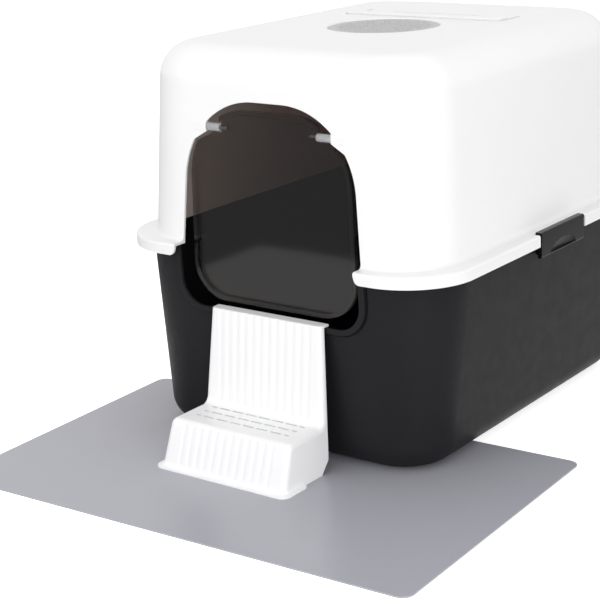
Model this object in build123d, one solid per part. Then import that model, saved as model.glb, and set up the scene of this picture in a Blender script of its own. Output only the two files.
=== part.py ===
from build123d import *
import os
from math import cos, hypot, radians, sin, tan

# Hooded litter box on a floor mat. Millimetres, +Z up, front towards -Y, width along X.
# The box is laid out from the middle of its skirt's front edge, with z = 0 on top of the mat.
# At the end everything moves, so that the origin is on the floor under the middle of the whole.

os.makedirs("parts", exist_ok=True)

# ---- floor mat ------------------------------------------------------------------------------
MAT_WIDTH = 550.0
MAT_DEPTH = 350.0
MAT_THICKNESS = 1.5
MAT_CORNER = 12.0
MAT_SHIFT = 19.0            # the loose mat lies a little to the right of the box
MAT_MIDDLE_Y = -32.0
MAT_TURN = 1.8              # degrees, the mat lies slightly askew

# ---- hood -----------------------------------------------------------------------------------
BOX_WIDTH = 416.0           # over the skirt
BOX_LENGTH = 512.0          # over the skirt
SKIRT_BOTTOM = 204.0
SKIRT_HEIGHT = 12.6
SKIRT_CORNER = 74.0
SKIRT_EDGE = 2.5
SKIRT_END = 7.0             # rounded lower corner beside the doorway
HOOD_WALL = 2.6
HOOD_HEIGHT = 206.5         # ledge to roof
HOOD_CORNER = 70.0
LEDGE_SIDE = 20.0
LEDGE_FRONT = 15.4
SIDE_DRAFT = 3.45           # degrees
FRONT_DRAFT = 2.5           # degrees
ROOF_EDGE = 39.0
LEDGE_FILLET = 5.0

# ---- doorway --------------------------------------------------------------------------------
DOOR_HALF = 114.0           # at the ledge
DOOR_LEAN = 0.0785          # how fast the sides draw in, per mm of height
DOOR_FLAT_HALF = 17.7       # level part at the top of the arch
DOOR_UNDER_ROOF = 51.6
ENTRY_BOTTOM = 150.0
ENTRY_CORNER = 28.0

# ---- tub ------------------------------------------------------------------------------------
TUB_INSET = 12.0            # rim inside the skirt's outline
TUB_WALL = 3.0
TUB_CORNER_TOP = 79.0
TUB_CORNER_BOTTOM = 58.0
TUB_TAPER_SIDE = 18.0       # over the tub's height
TUB_TAPER_FRONT = 10.8
TUB_FOOT_RADIUS = 27.0
RIM_PLAY = 1.0              # rim flange to the skirt's inner face
RIM_THICKNESS = 3.0
BEAD_WIDTH = 6.5
BEAD_PROUD = 4.0
BEAD_WEB = 1.5              # the bead is hollow behind, up to this web
BEAD_EDGE = 1.2
GROOVE_WIDTH = 1.6          # outside the bead
GROOVE_DEPTH = 1.2

# ---- flap -----------------------------------------------------------------------------------
AXIS_BEHIND_FACE = 2.7      # behind the hood's leaning front
AXIS_UNDER_DOOR = 29.1      # axis below the top of the arch
FLAP_UNDER_DOOR = 9.3
FLAP_SIDE_GAP = 12.0        # to the doorway, where the flap's arc starts
FLAP_LEAN = 0.025
FLAP_ARC_INSET = 17.0       # smaller than the arch's radius
FLAP_CORNER = 42.0
FLAP_FOOT_GAP = 3.0         # above the step's hook
FLAP_RIM_WIDTH = 5.0
FLAP_RIM_THICKNESS = 5.6
FLAP_PANEL = 2.0
PIN_DIAMETER = 8.6
PIN_LENGTH = 17.0
JOURNAL_DIAMETER = 4.4
PIN_PLAY = 0.05
PIN_SPIGOT_DIAMETER = 3.4
PIN_SPIGOT = 9.0
PIN_BOSS_WALL = 1.1
PIN_CLEAR = 1.4             # under the pin, to the flap's cut shoulder
EAR_PROUD = 5.6             # ear's tip into the doorway, beside the arch
EAR_GAP = 0.4               # pin to the ear's tip
EAR_LENGTH = 16.0
EAR_HEIGHT = 9.6
EAR_FRONT = 3.4             # in front of the axis
EAR_BACK = 4.4              # behind the axis
EAR_EDGE = 1.2
EAR_BLIND = 3.0             # closed end behind the journal
EAR_SLOPE = 0.567           # of the corner that fills the arch under the ear
EAR_FILL = 26.0
SHOULDER_GAP = 4.0          # flap to that corner, upright
PIN_END_GAP = 1.0

# ---- side latches ---------------------------------------------------------------------------
LATCH_BEHIND_MIDDLE = 8.0   # behind the middle of the box
LATCH_LENGTH = 97.0
LATCH_THICKNESS = 5.0
LATCH_AXIS_DROP = 20.0      # axis below the tub's rim
LATCH_AXIS_INSET = 8.8      # axis inside the skirt's outer face
LATCH_BELOW = 3.4           # plate below the axis
LATCH_LIP_REACH = 7.7
LATCH_LIP = 3.8
LATCH_GAP = 0.6             # lip above the rim, and lip tip to the ledge
LATCH_EDGE = 2.2
LATCH_BACK_GAP = 1.5        # plate to the rim flange
LATCH_END_GAP = 3.0         # latch end to the skirt
HINGE_RADIUS = 3.2
HINGE_PIN = 3.6
HINGE_PLAY = 0.05
HINGE_SPREAD = 30.0         # lugs before and behind the latch's middle
LUG_WIDTH = 8.0
LUG_GAP = 0.4
KNUCKLE_WIDTH = 5.0
SCOOP_HALF = 29.0
SCOOP_HEIGHT = 12.0
SCOOP_DEPTH = 3.2
SCOOP_DROP = 1.6            # flat lower side below the hinge axis

# ---- roof vent ------------------------------------------------------------------------------
VENT_BEFORE_MIDDLE = 17.2   # in front of the middle of the box
COVER_DIAMETER = 122.6
COVER_THICKNESS = 3.0
COVER_SINK = 0.8            # below the roof
COVER_EDGE = 1.0
SEAT_PLAY = 0.4
PAD_INSET = 2.8             # pad inside the cover's edge
SEAT_DEPTH = 14.0
SEAT_FLOOR = 2.0
SEAT_CHAMFER = 1.5
PAD_THICKNESS = 7.0
PAD_PLAY = 0.3
VENT_SLOT = 4.0
VENT_PITCH = 9.0
VENT_BORDER = 11.3
GRILLE_HOLE = 2.3
GRILLE_PITCH = 5.0
GRILLE_BORDER = 9.3

# ---- carrying handle ------------------------------------------------------------------------
HANDLE_BEHIND_VENT = 10.5   # grip behind the vent's seat
HANDLE_LENGTH = 41.0        # front of the grip to the axis
HANDLE_HALF = 104.0
HANDLE_GRIP = 18.0
HANDLE_ARM = 12.0
HANDLE_CORNER = 12.0
HANDLE_INNER_CORNER = 5.0
HANDLE_THICKNESS = 7.0
ARM_PROUD = 0.6             # above the roof
GRIP_PROUD = 2.5            # above the roof
GRIP_EDGE = 1.2
WELL_GAP = 1.2
FINGER_DEPTH = 14.0
FINGER_SIDE = 30.0          # pocket's end inside the handle's arm
FINGER_UNDER_GRIP = 9.0
FINGER_LENGTH = 29.0
FINGER_CORNER = 10.0
STUD_DIAMETER = 4.0
STUD_LENGTH = 4.0
STUD_PLAY = 0.05
STUD_END_GAP = 0.5

# ---- step -----------------------------------------------------------------------------------
STEP_WALL = 2.5
STEP_IN_DOOR = 42.7         # step's top inside the doorway's side
STEP_SPREAD = 0.058         # half-width gained per mm downwards
STEP_EDGE = 6.5
PANEL_BEFORE_BEAD = 8.2     # panel's front before the entry bead's face
PANEL_FOOT_Y = -7.0
PANEL_FOOT_RADIUS = 8.0
TREAD_HEIGHT = 49.0
TREAD_FRONT_Y = -64.0
TREAD_EDGE = 9.0
RISER_FOOT_Y = -81.0
REAR_BEFORE_BEAD = 2.2
REAR_FOOT_Y = -2.0
HEEL_HEIGHT = 13.0
HEEL_LENGTH = 13.0
HEEL_ROUND = 5.0
FOOT_FLARE = 5.5
FOOT_PLATE = 2.0
FOOT_FILLET = 4.6
FOOT_EDGE = 0.9
FOOT_CORNER = 11.0
FOOT_BACK_Y = -42.0
HOOK_TIP_INSET = 1.0        # turned-down tip inside the hook's sides
HOOK_WALL = 2.6
HOOK_GAP = 0.4
HOOK_EDGE = 2.0
FLUTE_BORDER = 13.0
FLUTE_PITCH = 10.3
FLUTE_DEPTH = 0.7
FLUTE_RADIUS = 9.0
FLUTE_ABOVE_TREAD = 5.0
FLUTE_ABOVE_FLOOR = 6.0
SLOT_LONG = 14.5
SLOT_SHORT = 7.0
SLOT_WIDTH = 3.0
SLOT_BRIDGE = 2.9
SLOT_BORDER = 9.0
SLOT_ROWS = 3
SLOT_ROW_PITCH = 13.5
SLOT_FIRST_ROW = 8.5        # in front of the panel's foot

# ---- worked out from the sizes above --------------------------------------------------------
HALF = BOX_WIDTH / 2
LEDGE_TOP = SKIRT_BOTTOM + SKIRT_HEIGHT
LEDGE_UNDER = LEDGE_TOP - HOOD_WALL
ROOF_TOP = LEDGE_TOP + HOOD_HEIGHT
DOOR_TOP = ROOF_TOP - DOOR_UNDER_ROOF
DOOR_SLANT = hypot(1, DOOR_LEAN)
DOOR_LOSS = DOOR_LEAN * (DOOR_TOP - LEDGE_TOP)
DOOR_ARC = (DOOR_HALF - DOOR_FLAT_HALF - DOOR_LOSS) / (DOOR_SLANT - DOOR_LEAN)
DOOR_ARC_Z = DOOR_TOP - DOOR_ARC
TUB_HEIGHT = LEDGE_UNDER
RIM_FLANGE = TUB_INSET - HOOD_WALL - RIM_PLAY
TUB_LEAN = TUB_TAPER_FRONT / TUB_HEIGHT

MAT_FRONT_Y = MAT_MIDDLE_Y - (
    (MAT_DEPTH / 2 - MAT_CORNER) * cos(radians(MAT_TURN))
    + (MAT_WIDTH / 2 - MAT_CORNER) * sin(radians(MAT_TURN))
    + MAT_CORNER
)
ORIGIN_Y = (MAT_FRONT_Y + BOX_LENGTH) / 2

FLAP_AXIS_Z = DOOR_TOP - AXIS_UNDER_DOOR
AXIS_FACE_Y = LEDGE_FRONT + tan(radians(FRONT_DRAFT)) * (FLAP_AXIS_Z - LEDGE_TOP)
FLAP_AXIS_Y = AXIS_FACE_Y + AXIS_BEHIND_FACE
FLAP_TOP = DOOR_TOP - FLAP_UNDER_DOOR
FLAP_HALF = DOOR_HALF - FLAP_SIDE_GAP
FLAP_ARC = DOOR_ARC - FLAP_ARC_INSET
ARCH_AT_AXIS = DOOR_FLAT_HALF + (DOOR_ARC**2 - (FLAP_AXIS_Z - DOOR_ARC_Z) ** 2) ** 0.5
EAR_TIP = ARCH_AT_AXIS - EAR_PROUD
EAR_LOW = FLAP_AXIS_Z - EAR_HEIGHT / 2
EAR_BORE_END = EAR_TIP + EAR_LENGTH - EAR_BLIND
PIN_OUTER_END = EAR_TIP - EAR_GAP
PIN_INNER_END = PIN_OUTER_END - PIN_LENGTH
SHOULDER_Z = FLAP_AXIS_Z - PIN_DIAMETER / 2 - PIN_CLEAR

LATCH_MIDDLE_Y = BOX_LENGTH / 2 + LATCH_BEHIND_MIDDLE
LATCH_FRONT_Y = LATCH_MIDDLE_Y - LATCH_LENGTH / 2
LATCH_BACK_Y = LATCH_MIDDLE_Y + LATCH_LENGTH / 2
LATCH_AXIS_X = HALF - LATCH_AXIS_INSET
LATCH_AXIS_Z = TUB_HEIGHT - LATCH_AXIS_DROP
LATCH_TIP_X = HALF - LATCH_LIP_REACH
LIP_UNDER = TUB_HEIGHT + LATCH_GAP
LIP_TOP = LIP_UNDER + LATCH_LIP

VENT_MIDDLE_Y = BOX_LENGTH / 2 - VENT_BEFORE_MIDDLE
COVER_UNDER = ROOF_TOP - COVER_SINK - COVER_THICKNESS
SEAT_FLOOR_Z = ROOF_TOP - SEAT_DEPTH
SEAT_RADIUS = COVER_DIAMETER / 2 + SEAT_PLAY
PAD_DIAMETER = COVER_DIAMETER - 2 * PAD_INSET
VENT_REACH = COVER_DIAMETER / 2 - VENT_BORDER
GRILLE_REACH = COVER_DIAMETER / 2 - GRILLE_BORDER

HANDLE_FRONT_Y = VENT_MIDDLE_Y + SEAT_RADIUS + HANDLE_BEHIND_VENT
HANDLE_AXIS_Y = HANDLE_FRONT_Y + HANDLE_LENGTH
HANDLE_UNDER = ROOF_TOP + ARM_PROUD - HANDLE_THICKNESS
HANDLE_AXIS_Z = HANDLE_UNDER + HANDLE_THICKNESS / 2
HANDLE_INNER_X = HANDLE_HALF - HANDLE_ARM
FINGER_HALF = HANDLE_INNER_X - FINGER_SIDE
WELL_FLOOR = HANDLE_UNDER - WELL_GAP
WELL_BACK_Y = HANDLE_AXIS_Y + HANDLE_THICKNESS / 2 + WELL_GAP

STEP_TOP_HALF = DOOR_HALF - STEP_IN_DOOR
FLUTE_COUNT = int(2 * (STEP_TOP_HALF - FLUTE_BORDER) / FLUTE_PITCH) + 1
SLOT_ROOM = 2 * (STEP_TOP_HALF - SLOT_BORDER - SLOT_SHORT) - SLOT_BRIDGE
SLOT_LONG_COUNT = int(SLOT_ROOM / (SLOT_LONG + SLOT_BRIDGE))
HOOK_UNDER = ENTRY_BOTTOM + HOOK_GAP
HOOK_TOP = HOOK_UNDER + HOOK_WALL
BEAD_FACE_Y = TUB_INSET + TUB_LEAN * (TUB_HEIGHT - ENTRY_BOTTOM) - BEAD_PROUD
HOOK_TIP_Z = ENTRY_BOTTOM - (BEAD_WIDTH - BEAD_WEB) + HOOK_GAP
HOOK_TIP_Y = BEAD_FACE_Y + TUB_WALL + TUB_LEAN * (ENTRY_BOTTOM - HOOK_TIP_Z) + HOOK_GAP
HOOK_BACK_Y = HOOK_TIP_Y + HOOK_WALL
PANEL_TOP_Y = BEAD_FACE_Y - PANEL_BEFORE_BEAD
REAR_TOP_Y = BEAD_FACE_Y - REAR_BEFORE_BEAD
FLAP_BOTTOM = HOOK_TOP + FLAP_FOOT_GAP


def rounded_face(half_width, front, back, radius, height):
    """Level rounded rectangle from front to back, half_width each side of x = 0."""
    middle = Pos(0, (front + back) / 2, height)
    return middle * RectangleRounded(2 * half_width, back - front, radius)


def rounded_prism(half_width, front, back, radius, low, high):
    """Upright block over a rounded rectangle."""
    return extrude(rounded_face(half_width, front, back, radius, low), high - low)


def block(x0, x1, y0, y1, z0, z1):
    """Plain box between two corners."""
    return Pos((x0 + x1) / 2, (y0 + y1) / 2, (z0 + z1) / 2) * Box(x1 - x0, y1 - y0, z1 - z0)


def rod_along_x(diameter, x0, x1, y, z):
    """Round rod between two x positions."""
    return Pos((x0 + x1) / 2, y, z) * Rot(0, 90, 0) * Cylinder(diameter / 2, abs(x1 - x0))


def rod_along_y(diameter, y0, y1, x, z):
    """Round rod between two y positions."""
    return Pos(x, (y0 + y1) / 2, z) * Rot(90, 0, 0) * Cylinder(diameter / 2, abs(y1 - y0))


def mirrored(shape):
    """The same piece on the other side of x = 0."""
    return mirror(shape, about=Plane.YZ)


def both_sides(shape):
    """The shape and its mirror image as one."""
    return shape + mirrored(shape)


# ---- hood -----------------------------------------------------------------------------------


def hood_body(inset, low):
    """Drafted dome of the hood, moved in by inset on every face and starting at low."""
    rise = ROOF_TOP - inset - low
    drop = LEDGE_TOP - low
    side = tan(radians(SIDE_DRAFT))
    front = tan(radians(FRONT_DRAFT))
    half_low = HALF - LEDGE_SIDE - inset + side * drop
    front_low = LEDGE_FRONT + inset - front * drop
    back_low = BOX_LENGTH - LEDGE_SIDE - inset + side * drop
    radius = HOOD_CORNER - inset
    base = rounded_face(half_low, front_low, back_low, radius, low)
    top = rounded_face(
        half_low - side * rise, front_low + front * rise, back_low - side * rise, radius, low + rise
    )
    dome = loft([base, top])
    return fillet(dome.faces().sort_by(Axis.Z)[-1].edges(), ROOF_EDGE - inset)


def lies_on_skirt(edge):
    """True for an edge of the skirt's outline, false for one at the foot of the dome."""
    box = edge.bounding_box()
    middle = edge @ 0.5
    far_side = max(abs(box.min.X), abs(box.max.X)) > HALF - LEDGE_SIDE / 2
    far_end = middle.Y < LEDGE_FRONT / 2 or middle.Y > BOX_LENGTH - LEDGE_SIDE / 2
    return far_side or far_end


def hood_outside():
    """Dome on its ledge, with the hollow fillet between them and the ledge's rounded edge."""
    plate = rounded_prism(HALF, 0, BOX_LENGTH, SKIRT_CORNER, SKIRT_BOTTOM, LEDGE_TOP)
    shell = hood_body(0, LEDGE_TOP) + plate
    level = shell.edges().filter_by_position(Axis.Z, LEDGE_TOP - 0.01, LEDGE_TOP + 0.01)
    shell = fillet([edge for edge in level if not lies_on_skirt(edge)], LEDGE_FILLET)
    level = shell.edges().filter_by_position(Axis.Z, LEDGE_TOP - 0.01, LEDGE_TOP + 0.01)
    return fillet([edge for edge in level if lies_on_skirt(edge)], SKIRT_EDGE)


def doorway():
    """Tall arch cut through the front of the hood, rounded where it passes the skirt's foot."""
    low = SKIRT_BOTTOM - 5
    half_low = DOOR_HALF + DOOR_LEAN * (LEDGE_TOP - low)
    outward = Vector(1, DOOR_LEAN).normalized()
    side_x = DOOR_FLAT_HALF + DOOR_ARC * outward.X
    side_z = DOOR_ARC_Z + DOOR_ARC * outward.Y
    between = (outward + Vector(0, 1)).normalized() * DOOR_ARC
    mid_x = DOOR_FLAT_HALF + between.X
    mid_z = DOOR_ARC_Z + between.Y
    arch = make_face([
        Line((-half_low, low), (half_low, low)),
        Line((half_low, low), (side_x, side_z)),
        ThreePointArc((side_x, side_z), (mid_x, mid_z), (DOOR_FLAT_HALF, DOOR_TOP)),
        Line((DOOR_FLAT_HALF, DOOR_TOP), (-DOOR_FLAT_HALF, DOOR_TOP)),
        ThreePointArc((-DOOR_FLAT_HALF, DOOR_TOP), (-mid_x, mid_z), (-side_x, side_z)),
        Line((-side_x, side_z), (-half_low, low)),
    ])
    skirt_half = DOOR_HALF + DOOR_LEAN * SKIRT_HEIGHT
    corner = block(
        skirt_half - 2, skirt_half + SKIRT_END, -5, LEDGE_FRONT / 2,
        SKIRT_BOTTOM - 2, SKIRT_BOTTOM + SKIRT_END,
    )
    round_end = rod_along_y(
        2 * SKIRT_END, -6, LEDGE_FRONT, skirt_half + SKIRT_END, SKIRT_BOTTOM + SKIRT_END
    )
    opening = Pos(0, -10, 0) * extrude(Plane.XZ * arch, -80)
    return opening - both_sides(ear_corner()) + both_sides(corner - round_end)


def ear_corner():
    """Part of the wall that stays in the arch on the right, beside and under the ear."""
    outline = make_face(Polyline(
        (EAR_TIP, EAR_LOW), (EAR_TIP, EAR_LOW + EAR_FILL),
        (EAR_TIP + EAR_FILL, EAR_LOW + EAR_FILL), (EAR_TIP + EAR_FILL, EAR_LOW - EAR_SLOPE * EAR_FILL),
        close=True,
    ))
    return Pos(0, -20, 0) * extrude(Plane.XZ * outline, -100)


def hinge_ear():
    """Boss at the right of the arch that carries a flap pin, and the blind bore in it."""
    ear = block(
        EAR_TIP, EAR_TIP + EAR_LENGTH, FLAP_AXIS_Y - EAR_FRONT, FLAP_AXIS_Y + EAR_BACK,
        EAR_LOW, EAR_LOW + EAR_HEIGHT,
    )
    ear = fillet(ear.edges().filter_by(Axis.X), EAR_EDGE)
    bore = rod_along_x(
        JOURNAL_DIAMETER + 2 * PIN_PLAY, EAR_TIP - 1, EAR_BORE_END, FLAP_AXIS_Y, FLAP_AXIS_Z
    )
    return ear, bore


def vent_seat():
    """Round cup under the roof for the vent cover and its pad, and all that is cut from it."""
    centre = Pos(0, VENT_MIDDLE_Y, 0)
    under = SEAT_FLOOR_Z - SEAT_FLOOR
    cup = centre * Pos(0, 0, (under + ROOF_TOP) / 2) * Cylinder(SEAT_RADIUS + HOOD_WALL, ROOF_TOP - under)
    above = ROOF_TOP + 5
    cuts = centre * Pos(0, 0, (COVER_UNDER + above) / 2) * Cylinder(SEAT_RADIUS, above - COVER_UNDER)
    pad_room = Cylinder(PAD_DIAMETER / 2 + PAD_PLAY, COVER_UNDER - SEAT_FLOOR_Z)
    cuts += centre * Pos(0, 0, (SEAT_FLOOR_Z + COVER_UNDER) / 2) * pad_room
    bevel = Cone(SEAT_RADIUS, SEAT_RADIUS + 2 * SEAT_CHAMFER, 2 * SEAT_CHAMFER)
    cuts += centre * Pos(0, 0, ROOF_TOP) * bevel
    count = int(VENT_REACH / VENT_PITCH)
    for index in range(-count, count + 1):
        x = index * VENT_PITCH
        reach = (VENT_REACH**2 - x**2) ** 0.5
        cuts += block(
            x - VENT_SLOT / 2, x + VENT_SLOT / 2,
            VENT_MIDDLE_Y - reach, VENT_MIDDLE_Y + reach, under - 2, SEAT_FLOOR_Z + 1,
        )
    return cup, cuts


def handle_plan(gap, back):
    """U-shaped plan of the folded handle, made larger by gap, its arms ending at back."""
    outer = rounded_face(HANDLE_HALF + gap, HANDLE_FRONT_Y - gap, back + 60, HANDLE_CORNER + gap, 0)
    window = rounded_face(
        HANDLE_INNER_X - gap, HANDLE_FRONT_Y + HANDLE_GRIP + gap, back + 60, HANDLE_INNER_CORNER, 0
    )
    front = HANDLE_FRONT_Y - gap - 1
    keep = Pos(0, (front + back) / 2) * Rectangle(3 * HANDLE_HALF, back - front)
    return (outer - window) & keep


def handle_well():
    """Recess in the roof for the folded handle, with a deeper finger pocket, and its cuts."""
    tray_plan = handle_plan(WELL_GAP + HOOD_WALL, WELL_BACK_Y + HOOD_WALL)
    tray = Pos(0, 0, WELL_FLOOR - HOOD_WALL) * extrude(tray_plan, ROOF_TOP - 1 - WELL_FLOOR + HOOD_WALL)
    channel = Pos(0, 0, WELL_FLOOR) * extrude(handle_plan(WELL_GAP, WELL_BACK_Y), 20)
    front = HANDLE_FRONT_Y + HANDLE_GRIP - FINGER_UNDER_GRIP
    back = front + FINGER_LENGTH
    floor = ROOF_TOP - FINGER_DEPTH
    tray += rounded_prism(
        FINGER_HALF + HOOD_WALL, front - HOOD_WALL, back + HOOD_WALL, FINGER_CORNER + HOOD_WALL,
        floor - HOOD_WALL, ROOF_TOP - 1,
    )
    channel += rounded_prism(FINGER_HALF, front, back, FINGER_CORNER, floor, ROOF_TOP + 5)
    bore = rod_along_x(
        STUD_DIAMETER + 2 * STUD_PLAY, HANDLE_INNER_X, HANDLE_INNER_X - STUD_LENGTH,
        HANDLE_AXIS_Y, HANDLE_AXIS_Z,
    )
    return tray, channel + both_sides(bore)


def make_hood():
    """White upper shell with its ledge, skirt, arch, ears, vent seat and handle recess."""
    cavity = hood_body(HOOD_WALL, SKIRT_BOTTOM - 1) + rounded_prism(
        HALF - HOOD_WALL, HOOD_WALL, BOX_LENGTH - HOOD_WALL, SKIRT_CORNER - HOOD_WALL,
        SKIRT_BOTTOM - 1, LEDGE_UNDER,
    )
    ear, bore = hinge_ear()
    cup, seat_cuts = vent_seat()
    tray, well_cuts = handle_well()
    shell = hood_outside() - cavity - doorway()
    shell = shell + both_sides(ear) + cup + tray
    shell = shell - both_sides(bore) - seat_cuts - well_cuts
    notch = block(
        LATCH_TIP_X - LATCH_GAP, HALF + 5,
        LATCH_FRONT_Y - LATCH_END_GAP, LATCH_BACK_Y + LATCH_END_GAP, SKIRT_BOTTOM - 5, LEDGE_TOP + 5,
    )
    return shell - both_sides(notch)


# ---- tub ------------------------------------------------------------------------------------


def tub_body(inset):
    """Tapered tub shape up to the rim, moved in by inset on every face."""
    share = 1 - inset / TUB_HEIGHT
    base = rounded_face(
        HALF - TUB_INSET - TUB_TAPER_SIDE * share - inset,
        TUB_INSET + TUB_TAPER_FRONT * share + inset,
        BOX_LENGTH - TUB_INSET - TUB_TAPER_SIDE * share - inset,
        TUB_CORNER_BOTTOM - inset, inset,
    )
    top = rounded_face(
        HALF - TUB_INSET - inset, TUB_INSET + inset, BOX_LENGTH - TUB_INSET - inset,
        TUB_CORNER_TOP - inset, TUB_HEIGHT,
    )
    body = loft([base, top])
    return fillet(body.faces().sort_by(Axis.Z)[0].edges(), TUB_FOOT_RADIUS - inset)


def front_plane(depth):
    """Plane of the tub's front wall, moved into the tub by depth; its y axis runs up the wall."""
    outward = Vector(0, -TUB_HEIGHT, -TUB_TAPER_FRONT).normalized()
    foot = Vector(0, TUB_INSET + TUB_TAPER_FRONT, 0) - outward * depth
    return Plane(origin=foot, x_dir=(1, 0, 0), z_dir=outward)


def entry_face(margin):
    """U-shaped outline of the entry, made larger by margin, open far above the rim."""
    low = ENTRY_BOTTOM - margin
    high = 2 * TUB_HEIGHT
    return Pos(0, (low + high) / 2) * RectangleRounded(
        2 * (DOOR_HALF + margin), high - low, ENTRY_CORNER + margin
    )


def entry_slab(margin, outer, inner):
    """The entry's outline as a slab between two depths from the wall's outer face."""
    return extrude(front_plane(inner) * entry_face(margin), inner - outer)


def latch_lug(middle):
    """Lug on the tub's right wall, behind the latch, with the bore for the latch's pin."""
    wall_x = HALF - TUB_INSET - TUB_TAPER_SIDE * (1 - LATCH_AXIS_Z / TUB_HEIGHT)
    front = middle - LUG_WIDTH / 2
    back = middle + LUG_WIDTH / 2
    lug = block(
        wall_x - TUB_WALL / 2, LATCH_AXIS_X, front, back,
        LATCH_AXIS_Z - HINGE_RADIUS, LATCH_AXIS_Z + HINGE_RADIUS,
    )
    lug += rod_along_y(2 * HINGE_RADIUS, front, back, LATCH_AXIS_X, LATCH_AXIS_Z)
    return lug - rod_along_y(
        HINGE_PIN + 2 * HINGE_PLAY, front - 1, back + 1, LATCH_AXIS_X, LATCH_AXIS_Z
    )


def make_tub():
    """Black open tub with its rim flange, hollow entry bead and latch lugs."""
    flange = rounded_prism(
        HALF - TUB_INSET + RIM_FLANGE, TUB_INSET - RIM_FLANGE, BOX_LENGTH - TUB_INSET + RIM_FLANGE,
        TUB_CORNER_TOP + RIM_FLANGE, TUB_HEIGHT - RIM_THICKNESS, TUB_HEIGHT,
    )
    notch = block(
        HALF - LATCH_THICKNESS - LATCH_BACK_GAP, HALF + 5,
        LATCH_FRONT_Y - LATCH_END_GAP, LATCH_BACK_Y + LATCH_END_GAP, LATCH_AXIS_Z, TUB_HEIGHT + 5,
    )
    above_rim = block(-HALF, HALF, -50, 60, TUB_HEIGHT, 3 * TUB_HEIGHT)
    bead = entry_slab(BEAD_WIDTH, -BEAD_PROUD, TUB_WALL / 2)
    bead = fillet(bead.faces().sort_by(Axis.Y)[0].edges(), BEAD_EDGE) - above_rim
    groove = entry_slab(BEAD_WIDTH + GROOVE_WIDTH, -BEAD_PROUD, GROOVE_DEPTH) - above_rim
    hollow = entry_slab(BEAD_WIDTH - BEAD_WEB, TUB_WALL - BEAD_PROUD, TUB_WALL + 10)
    cavity = tub_body(TUB_WALL)
    cavity += extrude(cavity.faces().sort_by(Axis.Z)[-1], 5)
    shell = tub_body(0) - groove + (flange - both_sides(notch)) + bead
    for middle in (LATCH_MIDDLE_Y - HINGE_SPREAD, LATCH_MIDDLE_Y + HINGE_SPREAD):
        shell += both_sides(latch_lug(middle))
    return shell - cavity - hollow - entry_slab(0, -30, 30)


# ---- flap and its pins ----------------------------------------------------------------------


def flap_face(margin):
    """Outline of the flap without its cut shoulders, made smaller by margin."""
    low = FLAP_BOTTOM + margin
    top = FLAP_TOP - margin
    arc_z = FLAP_TOP - FLAP_ARC
    half_low = FLAP_HALF + FLAP_LEAN * (arc_z - low) - margin
    half_top = FLAP_HALF + FLAP_LEAN * (arc_z - top) - margin
    outline = make_face(Polyline(
        (-half_low, low), (half_low, low), (half_top, top), (-half_top, top), close=True
    ))
    outline = fillet(outline.vertices().group_by(Axis.Y)[-1], FLAP_ARC - margin)
    return fillet(outline.vertices().group_by(Axis.Y)[0], FLAP_CORNER - margin)


def cut_shoulder():
    """Room for the right pin and the corner under its ear, cut from the flap's shoulder."""
    turn_x = EAR_TIP + (EAR_LOW - SHOULDER_GAP - SHOULDER_Z) / EAR_SLOPE
    end_x = DOOR_HALF + FLAP_ARC
    end_z = SHOULDER_Z - EAR_SLOPE * (end_x - turn_x)
    outline = make_face(Polyline(
        (PIN_INNER_END, SHOULDER_Z), (turn_x, SHOULDER_Z), (end_x, end_z),
        (end_x, FLAP_TOP + 5), (PIN_INNER_END, FLAP_TOP + 5), close=True,
    ))
    return extrude(Plane.XZ.offset(-FLAP_AXIS_Y) * outline, 20, both=True)


def make_flap():
    """Clear smoked flap: thin panel flush with the back of a raised rim, and two pin bosses."""
    hanging = Plane.XZ.offset(-FLAP_AXIS_Y)
    solid = extrude(hanging * flap_face(0), FLAP_RIM_THICKNESS / 2, both=True)
    hollow = Plane.XZ.offset(FLAP_PANEL - FLAP_AXIS_Y - FLAP_RIM_THICKNESS / 2)
    solid -= extrude(hollow * flap_face(FLAP_RIM_WIDTH), FLAP_RIM_THICKNESS)
    boss = rod_along_x(
        PIN_SPIGOT_DIAMETER + 2 * PIN_BOSS_WALL, PIN_INNER_END - PIN_SPIGOT - PIN_BOSS_WALL,
        PIN_INNER_END, FLAP_AXIS_Y, FLAP_AXIS_Z,
    )
    web = block(
        PIN_INNER_END - PIN_SPIGOT - PIN_BOSS_WALL, PIN_INNER_END,
        FLAP_AXIS_Y, FLAP_AXIS_Y + FLAP_RIM_THICKNESS / 2,
        FLAP_AXIS_Z - PIN_SPIGOT_DIAMETER / 2 - PIN_BOSS_WALL,
        FLAP_AXIS_Z + PIN_SPIGOT_DIAMETER / 2 + PIN_BOSS_WALL,
    )
    hole = rod_along_x(
        PIN_SPIGOT_DIAMETER, PIN_INNER_END - PIN_SPIGOT, PIN_INNER_END + 1, FLAP_AXIS_Y, FLAP_AXIS_Z
    )
    return solid - both_sides(cut_shoulder()) + both_sides(boss + web) - both_sides(hole)


def make_flap_pin():
    """Clear stepped pin on the right: spigot in the flap, thick barrel, journal in the ear."""
    spigot = rod_along_x(
        PIN_SPIGOT_DIAMETER, PIN_INNER_END - PIN_SPIGOT, PIN_INNER_END, FLAP_AXIS_Y, FLAP_AXIS_Z
    )
    barrel = rod_along_x(PIN_DIAMETER, PIN_INNER_END, PIN_OUTER_END, FLAP_AXIS_Y, FLAP_AXIS_Z)
    journal = rod_along_x(
        JOURNAL_DIAMETER, PIN_OUTER_END, EAR_BORE_END - PIN_END_GAP, FLAP_AXIS_Y, FLAP_AXIS_Z
    )
    return spigot + barrel + journal


# ---- side latches ---------------------------------------------------------------------------


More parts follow.
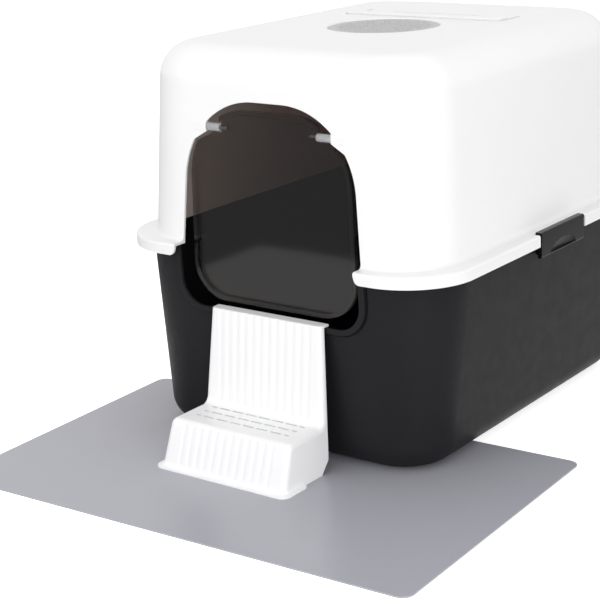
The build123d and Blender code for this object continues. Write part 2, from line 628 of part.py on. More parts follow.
def latch_knuckle(middle):
    """Two knuckles behind the right latch, either side of a lug, and the pin between them."""
    near = LUG_WIDTH / 2 + LUG_GAP
    far = near + KNUCKLE_WIDTH
    hinge = rod_along_y(HINGE_PIN, middle - far, middle + far, LATCH_AXIS_X, LATCH_AXIS_Z)
    for front, back in ((middle - far, middle - near), (middle + near, middle + far)):
        hinge += rod_along_y(2 * HINGE_RADIUS, front, back, LATCH_AXIS_X, LATCH_AXIS_Z)
        hinge += block(
            LATCH_AXIS_X, HALF - LATCH_THICKNESS / 2, front, back,
            LATCH_AXIS_Z - HINGE_RADIUS, LATCH_AXIS_Z + HINGE_RADIUS,
        )
    return hinge


def make_latch():
    """Black latch on the right: plate, top lip, thumb scoop, and two hinges behind it."""
    front = LATCH_FRONT_Y
    back = LATCH_BACK_Y
    plate = block(HALF - LATCH_THICKNESS, HALF, front, back, LATCH_AXIS_Z - LATCH_BELOW, LIP_TOP)
    plate += block(LATCH_TIP_X, HALF, front, back, LIP_UNDER, LIP_TOP)
    outer_edges = plate.edges().filter_by(Axis.Y).group_by(Axis.X)[-1]
    plate = fillet(outer_edges, LATCH_EDGE)
    flat_z = LATCH_AXIS_Z - SCOOP_DROP
    bowl = scale(Sphere(1), (SCOOP_DEPTH, SCOOP_HALF, SCOOP_HEIGHT))
    scoop = bowl & block(-10, 10, -50, 50, 0, 50)
    for middle in (LATCH_MIDDLE_Y - HINGE_SPREAD, LATCH_MIDDLE_Y + HINGE_SPREAD):
        plate += latch_knuckle(middle)
    return plate - Pos(HALF, LATCH_MIDDLE_Y, flat_z) * scoop


# ---- roof vent and handle -------------------------------------------------------------------


def make_filter_cover():
    """Grey round vent cover pierced by a grid of small holes."""
    disc = Cylinder(COVER_DIAMETER / 2, COVER_THICKNESS)
    disc = fillet(disc.faces().sort_by(Axis.Z)[-1].edges(), COVER_EDGE)
    count = int(GRILLE_REACH / GRILLE_PITCH)
    steps = [index * GRILLE_PITCH for index in range(-count, count + 1)]
    hole = Box(GRILLE_HOLE, GRILLE_HOLE, 2 * COVER_THICKNESS)
    disc -= [Pos(x, y, 0) * hole for x in steps for y in steps if x**2 + y**2 <= GRILLE_REACH**2]
    return Pos(0, VENT_MIDDLE_Y, COVER_UNDER + COVER_THICKNESS / 2) * disc


def make_carbon_filter():
    """Carbon filter disc on the seat's floor, under the cover."""
    return Pos(0, VENT_MIDDLE_Y, SEAT_FLOOR_Z + PAD_THICKNESS / 2) * Cylinder(
        PAD_DIAMETER / 2, PAD_THICKNESS
    )


def make_roof_handle():
    """White fold-down handle in its recess: grip, two arms with round ends, inward studs."""
    outline = handle_plan(0, HANDLE_AXIS_Y)
    bar = Pos(0, 0, HANDLE_UNDER) * extrude(outline, HANDLE_THICKNESS)
    front_bar = Pos(0, HANDLE_FRONT_Y + HANDLE_GRIP / 2) * Rectangle(2 * HANDLE_HALF, HANDLE_GRIP)
    grip = Pos(0, 0, HANDLE_UNDER) * extrude(outline & front_bar, ROOF_TOP + GRIP_PROUD - HANDLE_UNDER)
    grip = fillet(grip.faces().sort_by(Axis.Z)[-1].edges(), GRIP_EDGE)
    ends = rod_along_x(HANDLE_THICKNESS, HANDLE_INNER_X, HANDLE_HALF, HANDLE_AXIS_Y, HANDLE_AXIS_Z)
    stud = rod_along_x(
        STUD_DIAMETER, HANDLE_INNER_X + 2, HANDLE_INNER_X - STUD_LENGTH + STUD_END_GAP,
        HANDLE_AXIS_Y, HANDLE_AXIS_Z,
    )
    return bar + grip + both_sides(ends + stud)


# ---- step -----------------------------------------------------------------------------------


def panel_y(z):
    """Front face of the step's upright panel."""
    return PANEL_FOOT_Y + (PANEL_TOP_Y - PANEL_FOOT_Y) * (z - TREAD_HEIGHT) / (HOOK_TOP - TREAD_HEIGHT)


def riser_y(z):
    """Front face of the step's riser."""
    return RISER_FOOT_Y + (TREAD_FRONT_Y - RISER_FOOT_Y) * z / TREAD_HEIGHT


def step_half(z):
    """Half the step's width."""
    return STEP_TOP_HALF + STEP_SPREAD * (HOOK_TOP - z)


def step_bar(points, inset, low, high):
    """Side view given by points, moved in by inset across, with the step's spreading sides."""
    side = make_face(Polyline(*points, close=True))
    tread_z = TREAD_HEIGHT - inset
    level = [vertex for vertex in side.vertices() if abs(vertex.Y - tread_z) < 0.01]
    side = fillet(min(level, key=lambda vertex: vertex.X), TREAD_EDGE - inset)
    level = [vertex for vertex in side.vertices() if abs(vertex.Y - tread_z) < 0.01]
    side = fillet(max(level, key=lambda vertex: vertex.X), PANEL_FOOT_RADIUS + inset)
    heel = [vertex for vertex in side.vertices() if abs(vertex.Y - HEEL_HEIGHT) < 0.01]
    if heel:
        side = fillet(heel, HEEL_ROUND)
    front_view = Plane.XZ * make_face(Polyline(
        (-step_half(low) + inset, low), (step_half(low) - inset, low),
        (step_half(high) - inset, high), (-step_half(high) + inset, high), close=True,
    ))
    bar = extrude(Plane.YZ * side, 2 * STEP_TOP_HALF, both=True)
    bar = bar & extrude(front_view, 4 * STEP_TOP_HALF, both=True)
    rim = [edge for edge in bar.edges() if on_step_front(edge @ 0.5, high)]
    return fillet(rim, STEP_EDGE - inset)


def on_step_front(point, high):
    """True for a point on the long edge between the step's front and one of its sides."""
    above_heel = HEEL_HEIGHT < point.Z < high - 1
    beside = abs(point.X) > STEP_TOP_HALF / 2
    return above_heel and beside and point.Y < panel_y(point.Z) + STEP_WALL + 1


def step_outside():
    """Solid step with its hook plate and its flared foot."""
    points = [
        (HOOK_BACK_Y, HOOK_UNDER),
        (HOOK_BACK_Y, HOOK_TOP),
        (panel_y(HOOK_TOP), HOOK_TOP),
        (panel_y(TREAD_HEIGHT), TREAD_HEIGHT),
        (riser_y(TREAD_HEIGHT), TREAD_HEIGHT),
        (riser_y(0), 0),
        (REAR_FOOT_Y - HEEL_LENGTH, 0),
        (REAR_FOOT_Y, HEEL_HEIGHT),
        (REAR_TOP_Y, HOOK_UNDER),
    ]
    body = step_bar(points, 0, 0, HOOK_TOP)
    body = fillet(body.faces().sort_by(Axis.Z)[-1].edges(), HOOK_EDGE)
    half = step_half(0) + FOOT_FLARE
    plate = rounded_prism(half, riser_y(0) - FOOT_FLARE, FOOT_BACK_Y, FOOT_CORNER, 0, FOOT_PLATE)
    plate = fillet(plate.faces().sort_by(Axis.Z)[-1].edges(), FOOT_EDGE)
    body += plate
    seam = body.edges().filter_by_position(Axis.Z, FOOT_PLATE - 0.01, FOOT_PLATE + 0.01)
    inside = [
        edge for edge in seam
        if abs((edge @ 0.5).X) < step_half(FOOT_PLATE) + 1
        and riser_y(FOOT_PLATE) - 1 < (edge @ 0.5).Y < FOOT_BACK_Y - 1
    ]
    return fillet(inside, FOOT_FILLET)


def step_hollow():
    """Space under the step's skin, open at the back and the bottom."""
    behind = 3 * HOOK_BACK_Y
    low = -STEP_WALL
    high = HOOK_UNDER
    under = TREAD_HEIGHT - STEP_WALL
    points = [
        (behind, high),
        (panel_y(high) + STEP_WALL, high),
        (panel_y(under) + STEP_WALL, under),
        (riser_y(under) + STEP_WALL, under),
        (riser_y(low) + STEP_WALL, low),
        (behind, low),
    ]
    return step_bar(points, STEP_WALL, low, high)


def hook_tip():
    """Turned-down tip of the hook, which sits in the hollow of the entry's bead."""
    half = STEP_TOP_HALF - HOOK_TIP_INSET
    return block(-half, half, HOOK_TIP_Y, HOOK_BACK_Y, HOOK_TIP_Z, HOOK_UNDER + HOOK_WALL / 2)


def flutes(face_y, low, high):
    """Row of shallow upright grooves in the face that face_y gives, between two heights."""
    foot = Vector(0, face_y(low), low)
    run = Vector(0, face_y(high), high) - foot
    outward = Vector(1, 0, 0).cross(run.normalized())
    centre = foot + outward * (FLUTE_RADIUS - FLUTE_DEPTH)
    grooves = []
    for index in range(FLUTE_COUNT):
        x = (index - (FLUTE_COUNT - 1) / 2) * FLUTE_PITCH
        plane = Plane(origin=centre + Vector(x, 0, 0), z_dir=run)
        grooves.append(Solid.make_cylinder(FLUTE_RADIUS, run.length, plane))
    return grooves


def tread_slots():
    """Rows of short and long slots through the tread."""
    lengths = [SLOT_SHORT] + [SLOT_LONG] * SLOT_LONG_COUNT + [SLOT_SHORT]
    start = -(sum(lengths) + SLOT_BRIDGE * (len(lengths) - 1)) / 2
    slots = []
    for length in lengths:
        x = start + length / 2
        start += length + SLOT_BRIDGE
        for row in range(SLOT_ROWS):
            y = PANEL_FOOT_Y - SLOT_FIRST_ROW - row * SLOT_ROW_PITCH
            plan = Pos(x, y, TREAD_HEIGHT - 2 * STEP_WALL) * SlotOverall(length, SLOT_WIDTH)
            slots.append(extrude(plan, 4 * STEP_WALL))
    return slots


def make_step():
    """White step: hook, fluted panel, slotted tread, fluted riser and flared foot."""
    skin = step_outside() - step_hollow() + hook_tip()
    skin -= flutes(panel_y, TREAD_HEIGHT + FLUTE_ABOVE_TREAD, HOOK_TOP + 1)
    skin -= flutes(riser_y, FLUTE_ABOVE_FLOOR, TREAD_HEIGHT)
    return skin - tread_slots()


# ---- mat ------------------------------------------------------------------------------------


def make_mat():
    """Thin floor mat with rounded corners, under the front half of the box."""
    sheet = extrude(RectangleRounded(MAT_WIDTH, MAT_DEPTH, MAT_CORNER), -MAT_THICKNESS)
    return Pos(MAT_SHIFT, MAT_MIDDLE_Y, 0) * Rot(0, 0, MAT_TURN) * sheet


if __name__ == "__main__":
    pin = make_flap_pin()
    latch = make_latch()
    nodes = {
        "mat": make_mat(),
        "tub": make_tub(),
        "latch_left": mirrored(latch),
        "latch_right": latch,
        "hood": make_hood(),
        "flap": make_flap(),
        "flap_pin_left": mirrored(pin),
        "flap_pin_right": pin,
        "filter_cover": make_filter_cover(),
        "carbon_filter": make_carbon_filter(),
        "roof_handle": make_roof_handle(),
        "step": make_step(),
    }
    to_origin = Pos(-MAT_SHIFT, -ORIGIN_Y, MAT_THICKNESS)
    for name, shape in nodes.items():
        export_step(to_origin * shape, f"parts/{name}.step")
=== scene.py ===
"""Looks of the hooded litter box: dressed shells, smoked flap, roof vent, step, mat and stage."""

import logging
import math
from dataclasses import dataclass
from enum import Enum
from typing import Optional, Union

import bmesh
import bpy
from mathutils import Matrix, Vector


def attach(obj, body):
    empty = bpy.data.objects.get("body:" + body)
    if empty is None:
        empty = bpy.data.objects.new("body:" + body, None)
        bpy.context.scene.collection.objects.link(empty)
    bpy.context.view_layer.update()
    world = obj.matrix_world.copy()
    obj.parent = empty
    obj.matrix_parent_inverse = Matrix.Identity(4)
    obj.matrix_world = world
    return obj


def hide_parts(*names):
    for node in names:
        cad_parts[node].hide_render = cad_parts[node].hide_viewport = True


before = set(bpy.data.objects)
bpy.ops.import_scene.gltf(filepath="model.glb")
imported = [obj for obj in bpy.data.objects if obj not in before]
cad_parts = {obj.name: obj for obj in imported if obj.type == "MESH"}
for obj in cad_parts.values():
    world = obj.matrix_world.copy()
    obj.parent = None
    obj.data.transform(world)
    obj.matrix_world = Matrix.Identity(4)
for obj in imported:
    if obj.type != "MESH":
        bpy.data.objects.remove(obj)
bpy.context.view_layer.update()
LOG = logging.getLogger("litter_box")
MM = 0.001
WELD_DISTANCE = 0.002 * MM
FLAT_ANGLE = math.radians(0.2)
EDGE_SEGMENTS = 3
NORMAL_WEIGHT = 80
RELIEF_DEPTH = 0.1 * MM

Link = Union["Wire", int, float, tuple]


class Side(Enum):
    """The side that a paired piece is on, as in the CAD nodes' names."""

    LEFT = "left"
    RIGHT = "right"


class Wire:
    """One shader value, so that shader maths reads as a Python expression."""

    def __init__(self, graph: "Graph", socket: bpy.types.NodeSocket) -> None:
        """Keeps the graph and the output socket that carries the value."""
        self.graph = graph
        self.socket = socket

    def _join(self, operation: str, first: Link, second: Link) -> "Wire":
        """Adds one Math node and returns its value."""
        return self.graph.add(
            "ShaderNodeMath", {"operation": operation}, {0: first, 1: second}
        )

    def __add__(self, other: Link) -> "Wire":
        """self + other."""
        return self._join("ADD", self, other)

    def __radd__(self, other: Link) -> "Wire":
        """other + self."""
        return self._join("ADD", other, self)

    def __sub__(self, other: Link) -> "Wire":
        """self - other."""
        return self._join("SUBTRACT", self, other)

    def __rsub__(self, other: Link) -> "Wire":
        """other - self."""
        return self._join("SUBTRACT", other, self)

    def __mul__(self, other: Link) -> "Wire":
        """self * other."""
        return self._join("MULTIPLY", self, other)

    def __rmul__(self, other: Link) -> "Wire":
        """other * self."""
        return self._join("MULTIPLY", other, self)

    def limit(self, low: float, high: float) -> "Wire":
        """The value held between low and high."""
        return self._join("MINIMUM", self._join("MAXIMUM", self, low), high)

    def ramp(self, low: float, high: float, start: float = 0.0, end: float = 1.0) -> "Wire":
        """The value's smooth passage from start to end while it goes from low to high."""
        return self.graph.add(
            "ShaderNodeMapRange",
            {"interpolation_type": "SMOOTHSTEP"},
            {"Value": self, "From Min": low, "From Max": high, "To Min": start, "To Max": end},
        )


class Graph:
    """A material's or the world's node tree, built by short calls."""

    def __init__(self, tree: bpy.types.NodeTree) -> None:
        """Empties the tree, ready for new nodes."""
        self.tree = tree
        self.tree.nodes.clear()

    def add(self, kind: str, settings: Optional[dict] = None, sockets: Optional[dict] = None,
            out: Union[int, str] = 0) -> Wire:
        """Adds one node.

        Args:
            kind: the node's type, such as ShaderNodeTexNoise.
            settings: the node's own settings, set before its sockets.
            sockets: values or wires for its inputs, by name or number.
            out: the output that the returned wire carries.

        Returns:
            The wire that carries the chosen output.
        """
        node = self.tree.nodes.new(kind)
        for name, value in (settings or {}).items():
            setattr(node, name, value)
        for key, value in (sockets or {}).items():
            if isinstance(value, Wire):
                self.tree.links.new(value.socket, node.inputs[key])
            else:
                node.inputs[key].default_value = value
        return Wire(self, node.outputs[out])

    def place(self) -> Wire:
        """The point's position in the shared frame, in metres."""
        return self.add("ShaderNodeTexCoord", out="Object")

    def axis(self, name: str) -> Wire:
        """One of the position's three numbers, named X, Y or Z."""
        return self.add("ShaderNodeSeparateXYZ", None, {0: self.place()}, name)

    def ray(self, name: str) -> Wire:
        """1 for rays of one kind, such as Is Glossy Ray, else 0."""
        return self.add("ShaderNodeLightPath", out=name)

    def noise(self, per_metre: float, detail: float = 2.0, stretch: tuple = (1, 1, 1)) -> Wire:
        """Smooth noise from 0 to 1.

        Args:
            per_metre: about how many blobs lie along one metre.
            detail: how many finer layers it has.
            stretch: factors on its density along the three axes.

        Returns:
            The noise's value.
        """
        spread = self.add(
            "ShaderNodeMapping", {"vector_type": "POINT"},
            {"Vector": self.place(), "Scale": tuple(per_metre * part for part in stretch)},
        )
        return self.add(
            "ShaderNodeTexNoise", {"noise_dimensions": "3D"},
            {"Vector": spread, "Scale": 1.0, "Detail": detail, "Roughness": 0.55},
        )

    def tint(self, share: Link, first: tuple, second: tuple) -> Wire:
        """Colour that goes from first to second as share goes from 0 to 1."""
        return self.add(
            "ShaderNodeMixRGB", {"blend_type": "MIX"},
            {"Fac": share, "Color1": (*first, 1.0), "Color2": (*second, 1.0)},
        )

    def bump(self, height: Wire, depth: float, strength: float = 1.0) -> Wire:
        """Surface relief of the given depth in metres from a height between 0 and 1."""
        return self.add(
            "ShaderNodeBump", None, {"Strength": strength, "Distance": depth, "Height": height}
        )

    def principled(self, sockets: dict) -> Wire:
        """Principled shader with the given sockets."""
        return self.add("ShaderNodeBsdfPrincipled", None, sockets)

    def mix(self, share: Link, first: Wire, second: Wire) -> Wire:
        """Shader that goes from first to second as share goes from 0 to 1."""
        return self.add("ShaderNodeMixShader", None, {"Fac": share, 1: first, 2: second})

    def end(self, shader: Wire, kind: str = "ShaderNodeOutputMaterial") -> None:
        """Joins the finished shader to the tree's output."""
        output = self.tree.nodes.new(kind)
        self.tree.links.new(shader.socket, output.inputs["Surface"])


@dataclass(frozen=True)
class Finish:
    """A finish with a name; each kind builds its own material."""

    name: str

    def build(self) -> bpy.types.Material:
        """Makes the material, or gives the one made before.

        Returns:
            The material under this finish's name.
        """
        made = bpy.data.materials.get(self.name)
        if made is None:
            made = bpy.data.materials.new(self.name)
            made.use_nodes = True
            graph = Graph(made.node_tree)
            graph.end(self.shade(graph))
            self.settle(made)
        return made

    def shade(self, graph: Graph) -> Wire:
        """Builds the finish's shader in the graph."""
        raise NotImplementedError

    def settle(self, made: bpy.types.Material) -> None:
        """Sets what the material needs beside its nodes, which for most is nothing."""


@dataclass(frozen=True)
class MouldedPlastic(Finish):
    """Injection moulded plastic: an even colour, a faint orange peel and a fine grain."""

    colour: tuple = (0.8, 0.8, 0.8)
    shade_by: float = 0.012
    smoothest: float = 0.3
    roughest: float = 0.36
    specular: float = 0.5
    peel: float = 0.02 * MM
    grain: float = 0.01 * MM
    grain_per_metre: float = 2600.0
    lets_through: float = 0.0
    inner_light: tuple = (1.0, 0.56, 0.38)

    def shade(self, graph: Graph) -> Wire:
        """Builds plastic whose colour, roughness and relief change a little over it.

        Args:
            graph: the material's nodes.

        Returns:
            The shader, with a share of light passing through where the finish has one.
        """
        dark = tuple(part * (1.0 - self.shade_by) for part in self.colour)
        soft = graph.noise(160.0, 1.0)
        fine = graph.noise(self.grain_per_metre, 1.0)
        relief = soft * (self.peel / RELIEF_DEPTH) + fine * (self.grain / RELIEF_DEPTH)
        skin = graph.principled({
            "Base Color": graph.tint(graph.noise(9.0), self.colour, dark),
            "Roughness": graph.noise(55.0, 3.0).ramp(0.3, 0.7, self.smoothest, self.roughest),
            "Specular IOR Level": self.specular,
            "Normal": graph.bump(relief, RELIEF_DEPTH),
        })
        if not self.lets_through:
            return skin
        glow = graph.add("ShaderNodeBsdfTranslucent", None, {"Color": (*self.inner_light, 1.0)})
        return graph.mix(self.lets_through, skin, glow)


@dataclass(frozen=True)
class SmokedSheet(Finish):
    """Smoked clear plastic: see-through, with a glossy dark face."""

    see_through: tuple = (0.88, 0.83, 0.79)
    body: tuple = (0.003, 0.003, 0.0045)
    scuffed: tuple = (0.008, 0.008, 0.008)
    cover: float = 0.34
    smoothest: float = 0.055
    scuff_roughness: float = 0.02

    def shade(self, graph: Graph) -> Wire:
        """Builds tinted see-through mixed with a glossy dark skin that has faint scuffs.

        Args:
            graph: the material's nodes.

        Returns:
            The mixed shader.
        """
        clear = graph.add("ShaderNodeBsdfTransparent", None, {"Color": (*self.see_through, 1.0)})
        scuff = graph.noise(420.0, 4.0, (1.0, 1.0, 0.25)).ramp(0.45, 0.75)
        gloss = graph.principled({
            "Base Color": graph.tint(scuff, self.body, self.scuffed),
            "Roughness": scuff * self.scuff_roughness + self.smoothest,
            "IOR": 1.6, "Specular IOR Level": 1.0,
        })
        return graph.mix(self.cover, clear, gloss)

    def settle(self, made: bpy.types.Material) -> None:
        """Lets what lies behind show through."""
        made.surface_render_method = "BLENDED"


@dataclass(frozen=True)
class ClearPlastic(Finish):
    """Clear water-white plastic with a faint milkiness."""

    colour: tuple = (0.82, 0.84, 0.86)
    milky: tuple = (0.7, 0.71, 0.73)
    clearness: float = 0.65

    def shade(self, graph: Graph) -> Wire:
        """Builds clear plastic whose roughness changes with moulding marks.

        Args:
            graph: the material's nodes.

        Returns:
            The shader.
        """
        return graph.principled({
            "Base Color": graph.tint(graph.noise(300.0), self.colour, self.milky),
            "Roughness": graph.noise(700.0).ramp(0.3, 0.7, 0.04, 0.1),
            "IOR": 1.49, "Transmission Weight": self.clearness,
        })


@dataclass(frozen=True)
class SpeckledGrille(Finish):
    """Matte grey plastic with a fine pale and dark speckle."""

    colour: tuple = (0.4, 0.4, 0.405)
    pale: tuple = (0.6, 0.6, 0.605)

    def shade(self, graph: Graph) -> Wire:
        """Builds grey with speckle and a fine grain.

        Args:
            graph: the material's nodes.

        Returns:
            The shader.
        """
        speck = graph.noise(620.0).ramp(0.42, 0.6)
        return graph.principled({
            "Base Color": graph.tint(speck, self.colour, self.pale),
            "Roughness": speck * 0.1 + 0.5,
            "Normal": graph.bump(speck, 0.08 * MM),
        })


@dataclass(frozen=True)
class CarbonFelt(Finish):
    """Black carbon felt."""

    colour: tuple = (0.012, 0.012, 0.013)
    fluff: tuple = (0.06, 0.06, 0.062)

    def shade(self, graph: Graph) -> Wire:
        """Builds pale fibres over black.

        Args:
            graph: the material's nodes.

        Returns:
            The shader.
        """
        fibre = graph.noise(1100.0, 5.0, (1.0, 1.0, 0.3))
        return graph.principled({
            "Base Color": graph.tint(fibre, self.colour, self.fluff),
            "Roughness": 0.9,
            "Normal": graph.bump(fibre, 0.4 * MM),
        })


@dataclass(frozen=True)
class MatSheet(Finish):
    """Satin grey mat of soft plastic with a very fine grain."""

    colour: tuple = (0.4, 0.4, 0.445)
    deep: tuple = (0.375, 0.375, 0.42)
    relief: float = 0.16 * MM

    def shade(self, graph: Graph) -> Wire:
        """Builds a grey sheet with a satin face, grain and slow waves.

        Args:
            graph: the material's nodes.

        Returns:
            The shader.
        """
        grain = graph.noise(1900.0)
        wave = graph.noise(5.0, 1.0)
        return graph.principled({
            "Base Color": graph.tint(grain, self.colour, self.deep),
            "Roughness": graph.noise(30.0).ramp(0.3, 0.7, 0.29, 0.34),
            "Specular IOR Level": 0.4,
            "Normal": graph.bump(grain * 0.2 + wave * 0.8, self.relief, 0.6),
        })


WHITE = MouldedPlastic("moulded_white", colour=(0.91, 0.91, 0.918), lets_through=0.06)
WHITE_STEP = MouldedPlastic(
    "moulded_white_step", colour=(0.89, 0.89, 0.896), smoothest=0.38, roughest=0.45
)
BLACK = MouldedPlastic(
    "moulded_black", colour=(0.0165, 0.0165, 0.0183), shade_by=0.1, smoothest=0.42,
    roughest=0.48, specular=0.1, peel=0.01 * MM, grain=0.005 * MM,
)
LATCH = MouldedPlastic(
    "latch_black", colour=(0.0065, 0.0065, 0.007), shade_by=0.1, smoothest=0.2,
    roughest=0.26, specular=0.16, peel=0.01 * MM, grain=0.005 * MM,
)
SMOKE = SmokedSheet("smoked_sheet")
CLEAR = ClearPlastic("clear_plastic")
GRILLE = SpeckledGrille("speckled_grille")
FELT = CarbonFelt("carbon_felt")
MAT = MatSheet("mat_sheet")


class Moulding:
    """Turns a CAD node's loose triangles into a welded, softly edged skin that stands for it."""

    def __init__(self, node: str, body: str, slot: str, finish: Finish,
                 edge: float = 0.0, sharp: float = 32.0, flatten: bool = True) -> None:
        """Keeps what the skin is made from.

        Args:
            node: the CAD node that the skin stands for.
            body: the body that it rides on.
            slot: the record's material slot; not used.
            finish: what it is finished in.
            edge: how far its sharp edges are rounded, in metres, or 0.
            sharp: the angle in degrees from which an edge counts as sharp.
            flatten: whether flat neighbours are joined before the edges are rounded.
        """
        self.node = node
        self.body = body
        self.slot = slot
        self.finish = finish
        self.edge = edge
        self.sharp = math.radians(sharp)
        self.flatten = flatten

    def weld(self) -> bpy.types.Mesh:
        """Welds the node's triangles and marks its sharp edges.

        Returns:
            The welded mesh, in the shared frame.
        """
        work = bmesh.new()
        work.from_mesh(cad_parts[self.node].data)
        bmesh.ops.remove_doubles(work, verts=work.verts, dist=WELD_DISTANCE)
        bmesh.ops.dissolve_degenerate(work, edges=work.edges, dist=WELD_DISTANCE)
        if self.flatten:
            bmesh.ops.dissolve_limit(
                work, angle_limit=FLAT_ANGLE, verts=work.verts, edges=work.edges
            )
        for face in work.faces:
            face.smooth = True
        for edge in work.edges:
            edge.smooth = edge.is_manifold and edge.calc_face_angle(0.0) < self.sharp
        mesh = bpy.data.meshes.new(f"{self.node}_skin")
        work.to_mesh(mesh)
        work.free()
        return mesh

    def soften(self, skin: bpy.types.Object) -> None:
        """Rounds the sharp edges a little.

        Args:
            skin: the skin, whose bevel stays live.
        """
        soft = skin.modifiers.new("soft_edges", "BEVEL")
        soft.width = self.edge
        soft.segments = EDGE_SEGMENTS
        soft.limit_method = "ANGLE"
        soft.angle_limit = self.sharp
        soft.use_clamp_overlap = True
        soft.miter_outer = "MITER_ARC"

    def make(self) -> None:
        """Makes the skin, hides the node behind it and sets it on its body."""
        skin = bpy.data.objects.new(f"{self.node}_skin", self.weld())
        bpy.context.scene.collection.objects.link(skin)
        skin.data.materials.append(self.finish.build())
        if self.edge:
            self.soften(skin)
        even = skin.modifiers.new("even_normals", "WEIGHTED_NORMAL")
        even.keep_sharp = True
        even.weight = NORMAL_WEIGHT
        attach(skin, self.body)
        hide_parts(self.node)
        LOG.info("%s rides on %s", skin.name, self.body)


@dataclass
class Tub:
    """Black lower pan with its two latches."""

    latch_edge: float = 0.3 * MM

    def build(self) -> None:
        """Dresses the pan and the latches."""
        Moulding("tub", "tub", "black_plastic", BLACK, flatten=False).make()
        for side in Side:
            name = f"latch_{side.value}"
            Moulding(name, name, "black_plastic", LATCH, self.latch_edge).make()


@dataclass
class Hood:
    """White hood with its vent and its folded handle."""

    pad_edge: float = 0.8 * MM
    handle_edge: float = 0.5 * MM

    def build(self) -> None:
        """Dresses the hood, the vent's cover and pad, and the handle."""
        Moulding("hood", "hood", "white_plastic", WHITE, flatten=False).make()
        Moulding("filter_cover", "vent_filter", "grey_plastic", GRILLE).make()
        Moulding("carbon_filter", "vent_filter", "carbon_pad", FELT, self.pad_edge).make()
        Moulding("roof_handle", "roof_handle", "white_plastic", WHITE, self.handle_edge).make()


@dataclass
class Flap:
    """Smoked flap on its two clear pins."""

    rim_edge: float = 0.9 * MM
    pin_edge: float = 0.3 * MM

    def build(self) -> None:
        """Dresses the flap and its pins."""
        Moulding("flap", "flap", "smoked_clear", SMOKE, self.rim_edge).make()
        for side in Side:
            Moulding(f"flap_pin_{side.value}", "flap", "clear_pin", CLEAR, self.pin_edge).make()


@dataclass
class Step:
    """White step hooked over the entry."""

    edge: float = 0.35 * MM
    sharp: float = 40.0

    def build(self) -> None:
        """Dresses the step."""
        Moulding("step", "step", "white_plastic", WHITE_STEP, self.edge, self.sharp).make()


@dataclass
class FloorMat:
    """Grey mat under the front of the box."""

    edge: float = 0.5 * MM

    def build(self) -> None:
        """Dresses the mat."""
        Moulding("mat", "mat", "mat_grey", MAT, self.edge).make()


@dataclass(frozen=True)
class Lamp:
    """One soft square lamp."""

    name: str
    place: tuple
    aim: tuple
    size: float
    power: float

    def build(self) -> None:
        """Adds the lamp, facing its aim."""
        data = bpy.data.lights.new(self.name, "AREA")
        data.shape = "SQUARE"
        data.size = self.size
        data.energy = self.power
        lamp = bpy.data.objects.new(self.name, data)
        towards = Vector(self.aim) - Vector(self.place)
        turn = towards.to_track_quat("-Z", "Y").to_matrix().to_4x4()
        lamp.matrix_world = Matrix.Translation(self.place) @ turn
        bpy.context.scene.collection.objects.link(lamp)


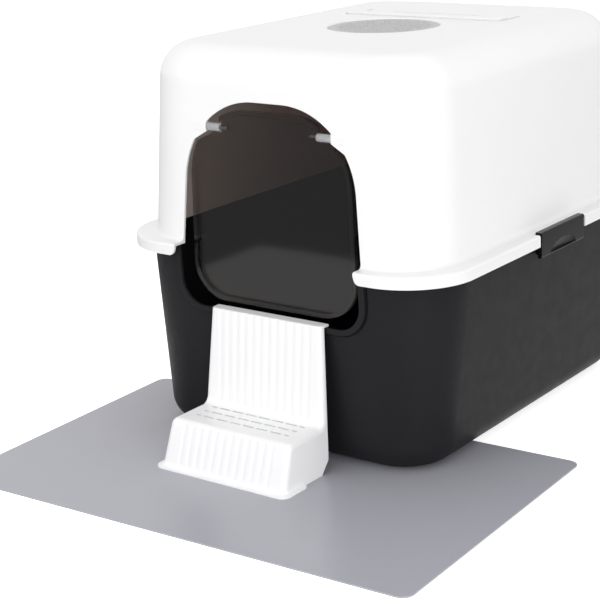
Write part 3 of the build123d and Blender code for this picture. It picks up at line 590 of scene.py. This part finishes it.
@dataclass
class Studio:
    """White floor and surroundings, soft lamps and the camera."""

    world_light: float = 0.76
    floor_half: float = 6.0
    floor_drop: float = 0.2 * MM
    floor_grey: float = 0.85
    floor_glow: float = 0.7
    table_half: float = 0.56
    table_front: float = -0.793
    table_blur: float = 0.01
    beyond_table: float = 0.38
    camera_place: tuple = (0.9697, -1.4103, 0.6536)
    yaw: float = 36.6677
    pitch: float = 16.7304
    roll: float = 2.1935
    lens: float = 97.74
    lamps: tuple = (
        Lamp("key_lamp", (-0.7, -2.4, 1.3), (0.0, 0.0, 0.15), 1.6, 14.0),
        Lamp("side_lamp", (1.8, -1.3, 0.4), (0.0, -0.2, 0.1), 1.2, 20.0),
        Lamp("top_lamp", (-0.2, 0.3, 2.8), (0.0, 0.1, 0.0), 2.0, 13.0),
    )

    def build(self) -> None:
        """Adds everything round the object."""
        self.surroundings()
        self.floor()
        self.camera()
        for lamp in self.lamps:
            lamp.build()

    def seen_share(self, graph: Graph) -> Wire:
        """1 for what the camera sees itself or through clear plastic, else 0."""
        return (graph.ray("Is Camera Ray") + graph.ray("Is Transmission Ray")).limit(0.0, 1.0)

    def surroundings(self) -> None:
        """White surroundings at a plain level, fully white to the camera and in reflections."""
        scene = bpy.context.scene
        scene.world = scene.world or bpy.data.worlds.new("surroundings")
        scene.world.use_nodes = True
        graph = Graph(scene.world.node_tree)
        seen = (self.seen_share(graph) + graph.ray("Is Glossy Ray")).limit(0.0, 1.0)
        strength = seen * (1.0 - self.world_light) + self.world_light
        sky = graph.add(
            "ShaderNodeBackground", None, {"Color": (1.0, 1.0, 1.0, 1.0), "Strength": strength}
        )
        graph.end(sky, "ShaderNodeOutputWorld")
        scene.view_settings.view_transform = "Standard"

    def table_share(self, graph: Graph) -> Wire:
        """Builds the floor's brightness in reflections.

        Args:
            graph: the floor's nodes.

        Returns:
            White on the table, and dimmer beyond its edges.
        """
        across = graph.axis("X")
        inner, outer = self.table_half - self.table_blur, self.table_half + self.table_blur
        right = 1.0 - across.ramp(inner, outer)
        left = across.ramp(-outer, -inner)
        front = graph.axis("Y").ramp(
            self.table_front - self.table_blur, self.table_front + self.table_blur
        )
        return right * left * front * (1.0 - self.beyond_table) + self.beyond_table

    def floor_material(self) -> bpy.types.Material:
        """Makes the floor white to the camera and a table with an edge in reflections.

        Returns:
            The floor's material.
        """
        material = bpy.data.materials.new("studio_floor")
        material.use_nodes = True
        graph = Graph(material.node_tree)
        grey = (self.floor_grey,) * 3
        face = graph.add("ShaderNodeBsdfDiffuse", None, {"Color": (*grey, 1.0)})
        glow = graph.add(
            "ShaderNodeEmission", None, {"Strength": self.seen_share(graph) * self.floor_glow}
        )
        plain = graph.add("ShaderNodeAddShader", None, {0: face, 1: glow})
        sheen = graph.add("ShaderNodeEmission", None, {"Strength": self.table_share(graph)})
        graph.end(graph.mix(graph.ray("Is Glossy Ray"), plain, sheen))
        return material

    def floor(self) -> None:
        """Adds the wide floor, which keeps the object's shadow."""
        work = bmesh.new()
        bmesh.ops.create_grid(work, x_segments=1, y_segments=1, size=self.floor_half)
        bmesh.ops.translate(work, verts=work.verts, vec=(0.0, 0.0, -self.floor_drop))
        mesh = bpy.data.meshes.new("studio_floor")
        work.to_mesh(mesh)
        work.free()
        mesh.materials.append(self.floor_material())
        floor = bpy.data.objects.new("studio_floor", mesh)
        bpy.context.scene.collection.objects.link(floor)

    def camera(self) -> None:
        """Adds the camera at the photograph's viewing angle."""
        yaw = math.radians(self.yaw)
        pitch = math.radians(self.pitch)
        forward = Vector(
            (-math.sin(yaw) * math.cos(pitch), math.cos(yaw) * math.cos(pitch), -math.sin(pitch))
        )
        level = Vector((math.cos(yaw), math.sin(yaw), 0.0))
        turn = Matrix((level, -forward.cross(level), -forward)).transposed()
        turn = turn @ Matrix.Rotation(-math.radians(self.roll), 3, "Z")
        data = bpy.data.cameras.new("photo_camera")
        data.lens = self.lens
        data.sensor_width = 36.0
        data.clip_end = 50.0
        camera = bpy.data.objects.new("photo_camera", data)
        camera.matrix_world = Matrix.Translation(self.camera_place) @ turn.to_4x4()
        bpy.context.scene.collection.objects.link(camera)
        bpy.context.scene.camera = camera


def main() -> None:
    """Builds the sub-assemblies in order."""
    logging.basicConfig(level=logging.INFO, format="%(name)s: %(message)s")
    for part in (FloorMat(), Tub(), Hood(), Flap(), Step(), Studio()):
        part.build()
        LOG.info("%s built", type(part).__name__)


if __name__ == "__main__":
    main()
